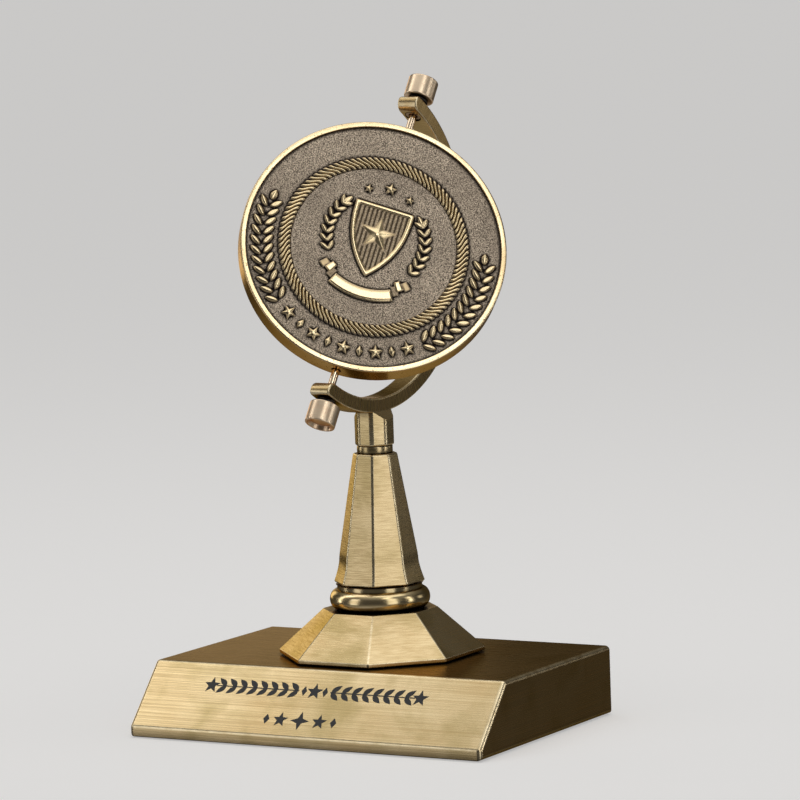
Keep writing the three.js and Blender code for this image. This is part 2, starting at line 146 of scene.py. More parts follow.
# The coin's faces
RIM_INNER = 33.5
RIM_BORE = 1.35
RIM_SIDES = 240
RIM_ROUNDINGS = (0.25, 0.4, 0.4, 0.25)
EMBLEM_CELLS = 300
BORDER_STEPS = 1400
BORDER_ROWS = 66
BORDER_INNER = 21.75
FACE_RADIUS = 33.6
FIELD_LEVEL = 2.7
RELIEF = 0.6
ROPE_STRANDS = 100
ROPE_RADIUS = 23.4
ROPE_HALF_WIDTH = 1.65
ROPE_LEAN = 0.98
ROPE_CURL = 0.012
ROPE_FILL = 0.78
BORDER_RADIUS = 29.4
BORDER_STARS = 9
BORDER_STAR_PITCH = 8.3
BORDER_STAR = (2.35, 1.0)
BORDER_LOZENGE = (1.7, 0.95)
# Degrees from the top for the tip, the first pair and the last. A leaf is its length, width and relief
LAUREL_SPAN = (79, 83.5, 136)
LAUREL_PAIRS = 11
LAUREL_ROWS = ((1, 31.0), (-1, 27.7))
LAUREL_SPREAD = 44
LAUREL_SLIP = 0.006
LAUREL_LEAF = (3.5, 1.5, 0.6)
LAUREL_TIP = (3.0, 1.9, 0.62)
LAUREL_TIP_RADIUS = 29.3
SHIELD_HALF_WIDTH = 8.0
SHIELD_TOP = 11.6
SHIELD_LENGTH = 20.6
SHIELD_RIB = 1.15
SMALL_STARS = ((-5.6, 15.2, 1.7), (0, 16.7, 2.2), (5.6, 15.2, 1.7))
# The side sprigs follow an ellipse. The span is in degrees from its top, with the number of pairs
SPRIG_ACROSS = 12.9
SPRIG_UP = 13.0
SPRIG_CENTRE = 2.2
SPRIG_SPAN = (118, 56, 7)
SPRIG_END = 50
SPRIG_LEAF = (2.9, 1.25, 0.5)
SPRIG_TIP = (3.0, 1.5, 0.5)
RIBBON_RADIUS = 18.0
RIBBON_CENTRE = 4.4
RIBBON_REACH = 27
RIBBON_HALF_WIDTH = 1.75
RIBBON_SEAM = 1.25
# Folds of the ribbon's tails: middle and half width in degrees, shift inwards, half height, relief
RIBBON_TAILS = (
    (41.0, 3.4, 1.2, 1.35, 0.34), (34.5, 3.4, 1.9, 1.5, 0.52), (30.0, 3.2, 0.9, 1.5, 0.26),
)
COMPASS_RING = 16.2
COMPASS_BOSS = 1.9
# Outer and inner radius, turn and slope of each set of four points
COMPASS_POINTS = ((11.5, 3.4, math.pi / 4, 0.22), (15.2, 3.0, 0.0, 0.30))

# The ornament on the plinth's slope, measured from the middle of the slope's lower edge
INLAY_DEPTH = 0.15
INLAY_PROUD = 0.03
UPPER_ROW = 14.0
INLAY_START = -32.3
INLAY_STEP = 3.12
INLAY_LEAVES = 20
INLAY_LEAF = (3.4, 1.5)
INLAY_STAR = (2.5, 1.05)
INLAY_LOZENGE = (1.5, 0.8)
STEM_HALF_WIDTH = 0.16
LOWER_ROW = 5.0
# Place along the row, points, outer and inner radius of each star
LOWER_STARS = (
    (-12.3, 2, 1.5, 0.9), (-8.1, 5, 2.3, 0.97), (-2.3, 4, 2.8, 1.05), (3.5, 5, 2.3, 0.97),
    (7.7, 2, 1.5, 0.9),
)


# ---------------------------------------------------------------- frame helpers

def cad_points(node):
    """Corners of a CAD node at rest, in millimetres."""
    mesh = frame["nodes"][node].data
    points = np.empty(len(mesh.vertices) * 3)
    mesh.vertices.foreach_get("co", points)
    return points.reshape(-1, 3) / MM


def unit(vector):
    return np.asarray(vector, float) / np.linalg.norm(vector)


def thinnest_direction(node):
    """Direction in which a flat node is thinnest."""
    points = cad_points(node)
    spread = np.cov((points - points.mean(axis=0)).T)
    return np.linalg.eigh(spread)[1][:, 0]


def placement(x_axis, y_axis, z_axis, origin):
    matrix = Matrix.Identity(4)
    for column, axis in enumerate((x_axis, y_axis, z_axis, origin)):
        for row in range(3):
            matrix[row][column] = axis[row]
    return matrix


def in_frame(matrix, points):
    """Points of the row's frame as seen from a placed frame."""
    rotation = np.array(matrix)[:3, :3]
    origin = np.array(matrix)[:3, 3]
    return (points - origin) @ rotation


def facing(direction, reference):
    return direction if np.dot(direction, reference) > 0 else -direction


spin = next(joint for joint in frame["joints"] if joint["name"] == "coin_spin")
PIVOT = unit(spin["axis"])
CENTRE = np.array(spin["pos_m"]) / MM
ARM_SIDE = facing(thinnest_direction("arm"), (1, 0, 0))
OBVERSE = facing(thinnest_direction("coin_rim"), (0, -1, 0))
HEAD = placement(ARM_SIDE, np.cross(PIVOT, ARM_SIDE), PIVOT, CENTRE)
COIN = placement(np.cross(-OBVERSE, PIVOT), -OBVERSE, PIVOT, CENTRE)
# The arm's arc is centred in front of the pivot axis
ARC = HEAD @ Matrix.Translation((0, -ARM_FORWARD, 0))
STAND = Matrix.Identity(4)


# ---------------------------------------------------------------- mesh helpers

def smooth(value, low, high):
    t = np.clip((value - low) / (high - low), 0, 1)
    return t * t * (3 - 2 * t)


def to_metres(matrix):
    """A frame given in millimetres, with the scale that turns a shape into metres."""
    return Matrix.Diagonal((MM, MM, MM, 1)) @ matrix


def new_object(name, verts, faces, matrix=STAND, sharp_degrees=SHARP_DEGREES, wear=None):
    """A mesh object. wear says how rubbed each point is, from 0 to 1."""
    mesh = bpy.data.meshes.new(name)
    mesh.from_pydata([tuple(vert) for vert in verts], [], [tuple(face) for face in faces])
    if wear is not None:
        store(mesh, "wear", wear)
    obj = bpy.data.objects.new(name, mesh)
    bpy.context.scene.collection.objects.link(obj)
    finish_mesh(obj, matrix, sharp_degrees)
    return obj


def store(mesh, label, values):
    """Keeps one number per point for the material to read."""
    data = np.zeros(len(mesh.vertices))
    data[: len(values)] = values
    layer = mesh.attributes.new(label, "FLOAT", "POINT")
    layer.data.foreach_set("value", data)


def finish_mesh(obj, matrix, sharp_degrees):
    mesh = obj.data
    mesh.transform(to_metres(matrix))
    work = bmesh.new()
    work.from_mesh(mesh)
    bmesh.ops.recalc_face_normals(work, faces=work.faces)
    work.to_mesh(mesh)
    work.free()
    mesh.shade_smooth()
    mesh.set_sharp_from_angle(angle=math.radians(sharp_degrees))
    if sharp_degrees < 180:
        keep_flats_flat(obj)


def keep_flats_flat(obj):
    """Shades a large face by its own direction, and its rounded edges by theirs."""
    weighting = obj.modifiers.new("weighted_normals", "WEIGHTED_NORMAL")
    weighting.mode = "FACE_AREA"
    weighting.keep_sharp = True


def stitch(rings, closed_loop):
    """Quads between rings of equal length. closed_loop also joins the last ring to the first."""
    count = len(rings[0])
    verts = [point for ring in rings for point in ring]
    faces = []
    bands = len(rings) if closed_loop else len(rings) - 1
    for band in range(bands):
        low = band * count
        high = ((band + 1) % len(rings)) * count
        for step in range(count):
            following = (step + 1) % count
            faces.append((low + step, low + following, high + following, high + step))
    if not closed_loop:
        faces.append(tuple(range(count))[::-1])
        faces.append(tuple(range((len(rings) - 1) * count, len(rings) * count)))
    return verts, faces


def rounded_corners(points, radii, steps=4, closed=False):
    """A polyline with its corners replaced by arcs. Each point is followed by its wear."""
    points = [np.array(point, float) for point in points]
    result = []
    last = len(points) - 1
    for index, corner in enumerate(points):
        radius = radii[index] if isinstance(radii, (list, tuple)) else radii
        if radius <= 0 or (not closed and index in (0, last)):
            result.append((*corner, 0.0))
            continue
        following = points[(index + 1) % len(points)]
        result += rounded_corner(points[index - 1], corner, following, radius, steps)
    return result


def rounded_corner(previous, corner, following, radius, steps):
    before, after = previous - corner, following - corner
    reach = 0.49 * min(np.linalg.norm(before), np.linalg.norm(after))
    before, after = unit(before), unit(after)
    half = 0.5 * math.acos(max(-1.0, min(1.0, float(before @ after))))
    if half > math.radians(89):
        return [(*corner, 0.0)]
    setback = min(radius / math.tan(half), reach)
    start, end = corner + before * setback, corner + after * setback
    weight = math.sin(half)
    tight = smooth(np.array(math.degrees(math.pi / 2 - half)), 4, 14)
    points = []
    for step in range(steps + 1):
        t = step / steps
        parts = ((1 - t) ** 2, 2 * t * (1 - t) * weight, t ** 2)
        point = (parts[0] * start + parts[1] * corner + parts[2] * end) / sum(parts)
        points.append((*point, float(tight) * math.sin(math.pi * t)))
    return points


def lathe(name, profile, matrix=STAND, segments=96):
    """A solid of revolution about +Z. The profile starts and ends on the axis or closes on itself."""
    on_axis = profile[0][0] == 0
    body = profile[1:-1] if on_axis else profile
    angles = [2 * math.pi * step / segments for step in range(segments)]
    rings, wear = [], []
    for radius, height, *worn in body:
        rings.append([(radius * math.cos(a), radius * math.sin(a), height) for a in angles])
        wear += [worn[0] if worn else 0.0] * segments
    verts, faces = stitch(rings, closed_loop=not on_axis)
    return new_object(name, verts, faces, matrix, wear=wear)


def octagon(radius, corner, steps=6):
    """An octagon with its flats towards the axes, each point followed by its wear. radius is to the
    unrounded corners."""
    centre = radius - corner / math.cos(math.pi / 8)
    points = []
    for side in range(8):
        direction = math.pi / 8 + side * math.pi / 4
        for step in range(steps + 1):
            angle = direction + (step / steps - 0.5) * math.pi / 4
            x = centre * math.cos(direction) + corner * math.cos(angle)
            y = centre * math.sin(direction) + corner * math.sin(angle)
            points.append((x, y, math.sin(math.pi * step / steps)))
    return points


def octagonal(name, profile, corner, matrix=STAND):
    """A loft of rounded octagons. The profile is a closed ring of (radius to corners, height, wear)."""
    rings, wear = [], []
    for radius, height, worn in profile:
        outline = octagon(radius, min(corner, 0.4 * radius))
        rings.append([(x, y, height) for x, y, _ in outline])
        wear += [max(worn, edge) for _, _, edge in outline]
    verts, faces = stitch(rings, closed_loop=True)
    return new_object(name, verts, faces, matrix, wear=wear)


def rounded_ends(half_depth, rounding, steps):
    """Levels through a solid with rounded ends: place, inset, wear, and 0 for the flat ends or else 1."""
    for side in (-1, 1):
        for step in range(steps + 1)[::-side]:
            angle = 0.5 * math.pi * step / steps
            level = side * (half_depth - rounding * (1 - math.cos(angle)))
            yield level, rounding * (1 - math.sin(angle)), math.sin(2 * angle), min(step, 1)


def extruded(name, outline, half_depth, rounding, matrix=STAND, steps=4):
    """A flat outline in XY, thick along Z, with its long edges rounded."""
    points = np.array([point[:2] for point in outline], float)
    corners = np.array([point[2] for point in outline])
    following = np.roll(points, -1, axis=0)
    tangent = following - np.roll(points, 1, axis=0)
    tangent /= np.linalg.norm(tangent, axis=1)[:, None]
    normal = np.stack([tangent[:, 1], -tangent[:, 0]], axis=1)
    area = 0.5 * np.sum(points[:, 0] * following[:, 1] - following[:, 0] * points[:, 1])
    inward = -normal if area > 0 else normal
    rings, wear = [], []
    for level, inset, worn, rubs in rounded_ends(half_depth, rounding, steps):
        rings.append([(x, y, level) for x, y in points + inward * inset])
        wear += list(rubs * np.maximum(corners, worn))
    verts, faces = stitch(rings, closed_loop=False)
    return new_object(name, verts, faces, matrix, wear=wear)


def arc(x, y, radius, start, end, steps, wear=0.0):
    """Points along an arc. Wear is strongest at its middle."""
    points = []
    for step in range(steps + 1):
        angle = math.radians(start + (end - start) * step / steps)
        worn = wear * math.sin(math.pi * step / steps)
        points.append((x + radius * math.cos(angle), y + radius * math.sin(angle), worn))
    return points


def carve(obj, cutter):
    """Cuts one object out of another, and removes the cutter."""
    modifier = obj.modifiers.new("carve", "BOOLEAN")
    obj.modifiers.move(len(obj.modifiers) - 1, 0)
    modifier.operation = "DIFFERENCE"
    modifier.object = cutter
    modifier.solver = "EXACT"
    bpy.context.view_layer.objects.active = obj
    bpy.ops.object.modifier_apply(modifier=modifier.name)
    bpy.data.objects.remove(cutter)
    obj.data.shade_smooth()
    obj.data.set_sharp_from_angle(angle=math.radians(SHARP_DEGREES))


def drill(obj, radius, low, high, matrix=STAND):
    """Cuts a round hole along a frame's Z axis."""
    section = [(0, low), (radius, low), (radius, high), (0, high)]
    carve(obj, lathe("drill", section, matrix, BORE_SIDES))


def outer_profile(node):
    """(radius to the corners, height) up the outside of an upright turned or octagonal node."""
    points = cad_points(node)
    radii = np.hypot(points[:, 0], points[:, 1])
    heights = np.unique(points[:, 2].round(2))
    profile = []
    for height in heights:
        level = np.abs(points[:, 2] - height) < 0.02
        profile.append((float(radii[level].max()), float(height)))
    return profile


def without_hollows(profile):
    """A profile without the levels that lie inside its outline, such as those of a cavity."""
    kept = []
    for radius, height in profile:
        while len(kept) > 1:
            (r0, z0), (r1, z1) = kept[-2], kept[-1]
            if (r1 - r0) * (height - z0) - (radius - r0) * (z1 - z0) > 0:
                break
            kept.pop()
        kept.append((radius, height))
    return kept


def place(obj, material, body, slot, *replaced):
    """Gives a piece its material and its body, and hides the CAD nodes that it stands for. slot is not
    used.
    """
    obj.data.materials.clear()
    obj.data.materials.append(material)
    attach(obj, body)
    if replaced:
        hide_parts(*replaced)


# ---------------------------------------------------------------- materials

SOCKETS = {
    "base_color": "Base Color", "metallic": "Metallic", "roughness": "Roughness",
    "specular": "Specular IOR Level", "tint": "Specular Tint", "sheen": "Sheen Weight",
    "glow_color": "Emission Color", "glow": "Emission Strength",
}
# Places of a Mix node's two inputs and its output, for each kind of data
MIX_SOCKETS = {"FLOAT": (2, 3, 0), "RGBA": (6, 7, 2)}
BRASS_LIGHT = (0.70, 0.56, 0.33)
BRASS_MID = (0.50, 0.35, 0.16)
BRASS_OLIVE = (0.36, 0.27, 0.11)
BRASS_GLANCING = (0.82, 0.60, 0.32)
COPPER_GLANCING = (0.88, 0.66, 0.48)


def rgba(value):
    """Adds the alpha to a colour. A socket or a number stays as it is."""
    return (*value, 1.0) if isinstance(value, tuple) else value


class Shader:
    """A node material, or the world, with short helpers for the few node kinds used here."""

    def __init__(self, name, owners=bpy.data.materials, surface="Principled BSDF"):
        self.owner = owners.new(name)
        self.owner.use_nodes = True
        self.nodes = self.owner.node_tree.nodes
        self.surface = self.nodes[surface]

    def feed(self, node, inputs):
        """Gives each input a constant or another node's output."""
        for key, value in inputs.items():
            if isinstance(value, bpy.types.NodeSocket):
                self.owner.node_tree.links.new(value, node.inputs[key])
            else:
                node.inputs[key].default_value = value

    def node(self, kind, inputs=None, **settings):
        made = self.nodes.new("ShaderNode" + kind)
        for key, value in settings.items():
            setattr(made, key, value)
        self.feed(made, inputs or {})
        return made

    def mapping(self, vector, kind, **inputs):
        return self.node("Mapping", {"Vector": vector, **inputs}, vector_type=kind).outputs["Vector"]

    def split(self, vector):
        return self.node("SeparateXYZ", {"Vector": vector}).outputs

    def coordinates(self, scale, turn=None):
        """Object coordinates, scaled per axis and turned into a piece's own frame."""
        vector = self.node("TexCoord").outputs["Object"]
        if turn is not None:
            vector = self.mapping(vector, "TEXTURE", Rotation=turn)
        return self.mapping(vector, "POINT", Scale=scale)

    def round_the_arm(self, grain):
        """Coordinates that run round the arm's arc: angle, distance across the arm, nothing."""
        vector = self.node("TexCoord").outputs["Object"]
        where = {"Location": ARC.translation * MM, "Rotation": ARC.to_euler("XYZ")}
        place_in_arc = self.split(self.mapping(vector, "TEXTURE", **where))
        angle = self.math("ARCTAN2", place_in_arc["Z"], place_in_arc["Y"])
        along = self.math("MULTIPLY", angle, grain[0])
        across = self.math("MULTIPLY", place_in_arc["X"], grain[1])
        return self.node("CombineXYZ", {"X": along, "Y": across}).outputs["Vector"]

    def noise(self, vector, scale, detail=2.0, roughness=0.5, distortion=0.0):
        inputs = {
            "Vector": vector, "Scale": scale, "Detail": detail, "Roughness": roughness,
            "Distortion": distortion,
        }
        return self.node("TexNoise", inputs).outputs["Fac"]

    def spots(self, scale, **settings):
        """Noise that is the same in every direction."""
        return self.noise(self.coordinates((1, 1, 1)), scale, **settings)

    def remap(self, value, low, high, to_low=0.0, to_high=1.0):
        inputs = {
            "Value": value, "From Min": low, "From Max": high, "To Min": to_low, "To Max": to_high,
        }
        return self.node("MapRange", inputs).outputs["Result"]

    def math(self, operation, first, second):
        return self.node("Math", {0: first, 1: second}, operation=operation).outputs["Value"]

    def mix(self, kind, factor, first, second):
        start, end, result = MIX_SOCKETS[kind]
        inputs = {"Factor": factor, start: first, end: second}
        return self.node("Mix", inputs, data_type=kind).outputs[result]

    def blend(self, factor, first, second):
        """Mixes two colours, each an RGB tuple or a socket."""
        return self.mix("RGBA", factor, rgba(first), rgba(second))

    def facing(self, axis, low, high):
        """From 0 to 1 as a face turns to look along an axis."""
        normal = self.node("NewGeometry").outputs["True Normal"]
        return self.remap(self.math("ABSOLUTE", self.split(normal)[axis], 0.0), low, high)

    def attribute(self, name):
        return self.node("Attribute", attribute_name=name).outputs["Fac"]

    def bump(self, height, strength, distance):
        inputs = {"Height": height, "Strength": strength, "Distance": distance}
        self.feed(self.surface, {"Normal": self.node("Bump", inputs).outputs["Normal"]})

    def set(self, **values):
        self.feed(self.surface, {SOCKETS[key]: rgba(value) for key, value in values.items()})
        return self.owner


def groove_shade_mask(shader, reach):
    """Ambient occlusion as a mask for painted shade: 1 in grooves and inner corners, 0 in the open."""
    occlusion = shader.node("AmbientOcclusion", {"Distance": reach}, samples=8)
    return shader.remap(occlusion.outputs["AO"], 0.88, 0.42)


def wear_and_groove_shade(shader, colour, groove_reach):
    """Painted shade with patina in the grooves and inner corners, and bright metal where edges are rubbed.
    """
    scuffs = shader.spots(420.0)
    patchy = shader.remap(scuffs, 0.25, 0.55, 0.35, 1.0)
    rubbed = shader.math("MULTIPLY", shader.attribute("wear"), patchy)
    worn = shader.blend(rubbed, colour, (0.88, 0.74, 0.48))
    # Painted shade: grooves and inner corners go nearly black, also standing for the patina left in them.
    return shader.blend(groove_shade_mask(shader, groove_reach), worn, (0.030, 0.021, 0.015))


def brushed_brass(
    name, light, dark, grain, roughness=(0.22, 0.32), end_grain=None, across_arm=False,
    groove_reach=0.0035,
):
    """Antique brass with brushing lines. grain is the noise scale along each axis: small is long.
    end_grain is the same for the faces that look along X. With it, what doesn't look along Y gets painted
    shade, a darker brown.
    across_arm brushes the arm across its width instead."""
    shader = Shader(name)
    where = shader.round_the_arm(grain) if across_arm else shader.coordinates(grain)
    lines = shader.noise(where, 1.0, detail=2.5, roughness=0.55)
    if end_grain:
        end_lines = shader.noise(shader.coordinates(end_grain), 1.0, detail=2.5, roughness=0.55)
        lines = shader.mix("FLOAT", shader.facing("X", 0.75, 0.9), lines, end_lines)
    clouds = shader.spots(45.0)
    streaks = shader.math("MULTIPLY", shader.remap(lines, 0.28, 0.72), 0.5)
    shade = shader.math("ADD", streaks, shader.math("MULTIPLY", shader.remap(clouds, 0.3, 0.7), 0.5))
    tarnish = shader.spots(75.0, detail=3.0, distortion=0.4)
    colour = shader.blend(shade, dark, light)
    colour = shader.blend(shader.remap(tarnish, 0.46, 0.70, 0.0, 0.7), colour, BRASS_OLIVE)
    if end_grain:
        # Painted shade: faces that turn away from Y, such as the plinth's ends, take up to 0.6 of a dark
        # brown.
        side_shade = shader.math("MULTIPLY", shader.math("SUBTRACT", 1.0, shader.facing("Y", 0.2, 0.65)), 0.6)
        colour = shader.blend(side_shade, colour, (0.34, 0.19, 0.06))
    shader.bump(lines, 0.08, 0.00002)
    rough = shader.remap(lines, 0.3, 0.7, roughness[1], roughness[0])
    colour = wear_and_groove_shade(shader, colour, groove_reach)
    return shader.set(base_color=colour, metallic=1.0, roughness=rough, tint=BRASS_GLANCING)


def plain_metal(name, light, dark, roughness=0.3, scale=300.0, depth=0.00002):
    shader = Shader(name)
    spots = shader.spots(scale, detail=4.0)
    colour = shader.blend(shader.remap(spots, 0.3, 0.7), dark, light)
    shader.bump(spots, 0.2, depth)
    rough = shader.remap(spots, 0.3, 0.7, roughness + 0.06, roughness - 0.06)
    return shader.set(base_color=colour, metallic=1.0, roughness=rough)


def rim_brass(name, light, dark):
    """Polished rim metal with stains and fine dents."""
    shader = Shader(name)
    dents = shader.spots(1900.0, detail=1.0)
    stains = shader.spots(70.0, detail=3.0)
    colour = shader.blend(shader.remap(stains, 0.35, 0.7), light, dark)
    colour = shader.blend(shader.remap(dents, 0.28, 0.36), tuple(0.45 * part for part in dark), colour)
    shader.bump(dents, 0.2, 0.00002)
    rough = shader.remap(stains, 0.3, 0.7, 0.18, 0.28)
    return shader.set(base_color=colour, metallic=1.0, roughness=rough, tint=BRASS_GLANCING)


def turned_copper(name, roughness):
    """Rose copper with faint turning lines round the pivot axis, and painted shade with patina in its
    grooves.
    """
    shader = Shader(name)
    lines = shader.coordinates((60, 60, 7000), HEAD.to_euler("XYZ"))
    rings = shader.noise(lines, 1.0, detail=3.0)
    stains = shader.spots(220.0)
    colour = shader.blend(shader.remap(rings, 0.3, 0.7), (0.86, 0.64, 0.43), (0.97, 0.80, 0.58))
    colour = shader.blend(shader.remap(stains, 0.5, 0.8), colour, (0.74, 0.49, 0.31))
    shader.bump(rings, 0.3, 0.00002)
    # Painted shade: the recess and grooves go dark brown, also standing for patina there.
    colour = shader.blend(groove_shade_mask(shader, 0.0012), colour, (0.30, 0.13, 0.05))
    return shader.set(base_color=colour, metallic=1.0, roughness=roughness, tint=COPPER_GLANCING)


def struck_brass():
    """Coin face: dark sandblasted field, bright worn relief, and painted shade with patina in the hollows
    beside the relief. Two attributes say which is which.
    """
    shader = Shader("coin_brass")
    grit = shader.spots(3900.0, detail=1.0)
    patches = shader.spots(55.0)
    raised = shader.attribute("raised")
    cavity = shader.attribute("cavity")
    field = shader.blend(shader.remap(grit, 0.36, 0.66), (0.060, 0.047, 0.036), (0.79, 0.65, 0.49))
    field = shader.blend(shader.remap(patches, 0.35, 0.7, 0.0, 0.4), field, (0.20, 0.16, 0.12))
    # Painted shade: the cavity attribute darkens the field to near black beside the relief and against the
    # rim, also standing for patina there.
    dark = shader.blend(cavity, field, (0.010, 0.008, 0.008))
    flank = shader.blend(shader.remap(raised, 0.0, 0.6), dark, (0.36, 0.26, 0.14))
    colour = shader.blend(shader.remap(raised, 0.45, 1.0), flank, (0.80, 0.64, 0.38))
    grain = shader.math("MULTIPLY", grit, shader.remap(raised, 0.0, 0.5, 1.0, 0.1))
    shader.bump(grain, 1.0, 0.00013)
    rough = shader.remap(raised, 0.0, 1.0, 0.40, 0.22)
    return shader.set(base_color=colour, metallic=1.0, roughness=rough, tint=BRASS_GLANCING)


def felt_material():
    shader = Shader("black_felt")
    fibres = shader.spots(1800.0, detail=4.0, roughness=0.7, distortion=1.5)
    colour = shader.blend(fibres, (0.006, 0.006, 0.007), (0.035, 0.035, 0.038))
    shader.bump(fibres, 0.8, 0.0002)
    return shader.set(base_color=colour, metallic=0.0, roughness=0.95, sheen=0.4)


def engraving_fill():
    shader = Shader("engraving_fill")
    grain = shader.spots(1500.0, detail=3.0)
    colour = shader.blend(grain, (0.008, 0.008, 0.009), (0.03, 0.028, 0.026))
    shader.bump(grain, 0.3, 0.00003)
    return shader.set(base_color=colour, metallic=0.0, roughness=0.5)


PLINTH_BRASS = brushed_brass(
    "plinth_brass", BRASS_LIGHT, BRASS_MID, (25, 3200, 3200), end_grain=(3200, 25, 3200),
)
COLUMN_BRASS = brushed_brass("column_brass", BRASS_LIGHT, BRASS_MID, (260, 260, 4200))
# The bead's brass is a lighter copy of the stand's: partly its polish, partly a painted highlight.
BRIGHTENED_BEAD_BRASS = brushed_brass(
    "bead_brass_brightened", (0.94, 0.78, 0.48), (0.74, 0.55, 0.28), (260, 260, 2600), (0.16, 0.24),
    groove_reach=0.0028,
)
FOOT_BRASS = brushed_brass("foot_brass", BRASS_LIGHT, BRASS_MID, (240, 240, 3600))
# Painted shade: the arm's brass is a darker copy of the stand's brass.
SHADED_ARM_BRASS = brushed_brass("arm_brass", (0.60, 0.43, 0.20), (0.40, 0.27, 0.12), (130, 200), across_arm=True)
RIM_BRASS = rim_brass("rim_brass", (0.86, 0.70, 0.43), (0.74, 0.55, 0.30))
BAND_BRASS = rim_brass("band_brass", (0.66, 0.44, 0.21), (0.48, 0.28, 0.11))
COIN_BRASS = struck_brass()
ROSE_COPPER = turned_copper("rose_copper", 0.33)
PIN_COPPER = turned_copper("pin_copper", 0.14)
BRONZE = plain_metal("bush_bronze", (0.45, 0.29, 0.14), (0.25, 0.15, 0.07), 0.35)
STEEL = plain_metal("bright_steel", (0.50, 0.50, 0.51), (0.34, 0.34, 0.35), 0.32)
DARK_STEEL = plain_metal("dark_steel", (0.05, 0.045, 0.04), (0.02, 0.018, 0.016), 0.45)
PLATE_STEEL = plain_metal("plate_steel", (0.16, 0.16, 0.17), (0.09, 0.09, 0.10), 0.5)
WEIGHT_IRON = plain_metal("weight_iron", (0.10, 0.10, 0.105), (0.04, 0.04, 0.043), 0.65, 700.0, 0.0001)
BLACK_FELT = felt_material()
ENGRAVING = engraving_fill()


# ---------------------------------------------------------------- plinth

def plinth_outline():
    """The wedge's section as (y, z), from the CAD shell's corners."""
    low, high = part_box("plinth_shell")
    points = cad_points("plinth_shell")
    front = points[:, 1] < low.y / MM + 0.05
    lip_top = points[front, 2].max()
    top = points[:, 2] > high.z / MM - 0.05
    top_front = points[top, 1].min()
    return [
        (low.y / MM, low.z / MM), (high.y / MM, low.z / MM), (high.y / MM, high.z / MM),
        (top_front, high.z / MM), (low.y / MM, lip_top),
    ]


def offset_outline(points, inset):
    """A convex outline moved inwards by inset."""
    points = [np.array(point, float) for point in points]
    lines = []
    centre = sum(points) / len(points)
    for index, start in enumerate(points):
        end = points[(index + 1) % len(points)]
        along = unit(end - start)
        normal = np.array([along[1], -along[0]])
        if normal @ (centre - start) < 0:
            normal = -normal
        lines.append((start + normal * inset, along))
    result = []
    for index in range(len(lines)):
        (p, u), (q, v) = lines[index - 1], lines[index]
        t = np.linalg.solve(np.array([u, -v]).T, q - p)[0]
        result.append(p + u * t)
    return result


def plinth():
    low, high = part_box("plinth_shell")
    half, top = (high.x - low.x) / 2 / MM, high.z / MM
    outline = plinth_outline()
    rings, wear = [], []
    for level, inset, worn, rubs in rounded_ends(half, PLINTH_ROUNDING, PLINTH_STEPS):
        radii = [PLINTH_FOOT_ROUNDING] * 2 + [max(PLINTH_ROUNDING - inset, 0.05)] * 3
        section = rounded_corners(offset_outline(outline, inset), radii, PLINTH_STEPS, closed=True)
        rings.append([(level, y, z) for y, z, _ in section])
        wear += [rubs * max(edge, worn) for _, _, edge in section]
    shell = new_object("plinth_body", *stitch(rings, closed_loop=False), wear=wear)
    inner = offset_outline(outline, PLINTH_WALL)
    inner[0][1] = inner[1][1] = -2 * PLINTH_WALL
    reach = half - PLINTH_WALL
    cavity = [[(side, y, z) for y, z in inner] for side in (-reach, reach)]
    carve(shell, new_object("plinth_cavity", *stitch(cavity, closed_loop=False)))
    drill(shell, TIE_BORE, top - 2 * PLINTH_WALL, top + PLINTH_WALL)
    place(shell, PLINTH_BRASS, "stand", "plinth_brass", "plinth_shell")


# ---------------------------------------------------------------- column stack

def octagonal_piece(node, outside, roundings, corner, material):
    """Stands for an octagonal CAD node, with the same outline and rounded edges."""
    low, high = outside[0][1], outside[-1][1]
    profile = [(CASTING_BORE, low), *outside, (CASTING_BORE, high)]
    piece = octagonal(node + "_casting", rounded_corners(profile, [0, *roundings, 0], 6), corner)
    place(piece, material, "stand", "column_brass", node)


def bead():
    profile = outer_profile("ring_bead")
    low, high = profile[0][1], profile[-1][1]
    neck = min(radius for radius, _ in profile)
    bulge = max(radius for radius, _ in profile)
    centre = np.mean([height for radius, height in profile if radius > bulge - 0.05])
    half_round = [
        (neck + (bulge - neck) * across, centre + BEAD_HALF_HEIGHT * up)
        for across, up, _ in arc(0, 0, 1, -90, 90, BEAD_STEPS)
    ]
    ring = [
        (TIE_BORE, low), (neck + BEAD_LIP, low), (neck, low + BEAD_LIP_HEIGHT), *half_round,
        (neck, high - BEAD_LIP_HEIGHT), (neck + BEAD_LIP, high), (TIE_BORE, high),
    ]
    place(lathe("ring_bead_turning", ring), BRIGHTENED_BEAD_BRASS, "stand", "column_brass", "ring_bead")


def neck():
    low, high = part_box("neck_ring")
    radius = high.x / MM
    bottom, top = low.z / MM - NECK_OVERLAP, high.z / MM + NECK_OVERLAP
    ring = [(TIE_BORE, bottom), (radius, bottom), (radius, top), (TIE_BORE, top)]
    piece = lathe("neck_ring_turning", rounded_corners(ring, [0, NECK_ROUNDING, NECK_ROUNDING, 0], 3))
    place(piece, COLUMN_BRASS, "stand", "column_brass", "neck_ring")


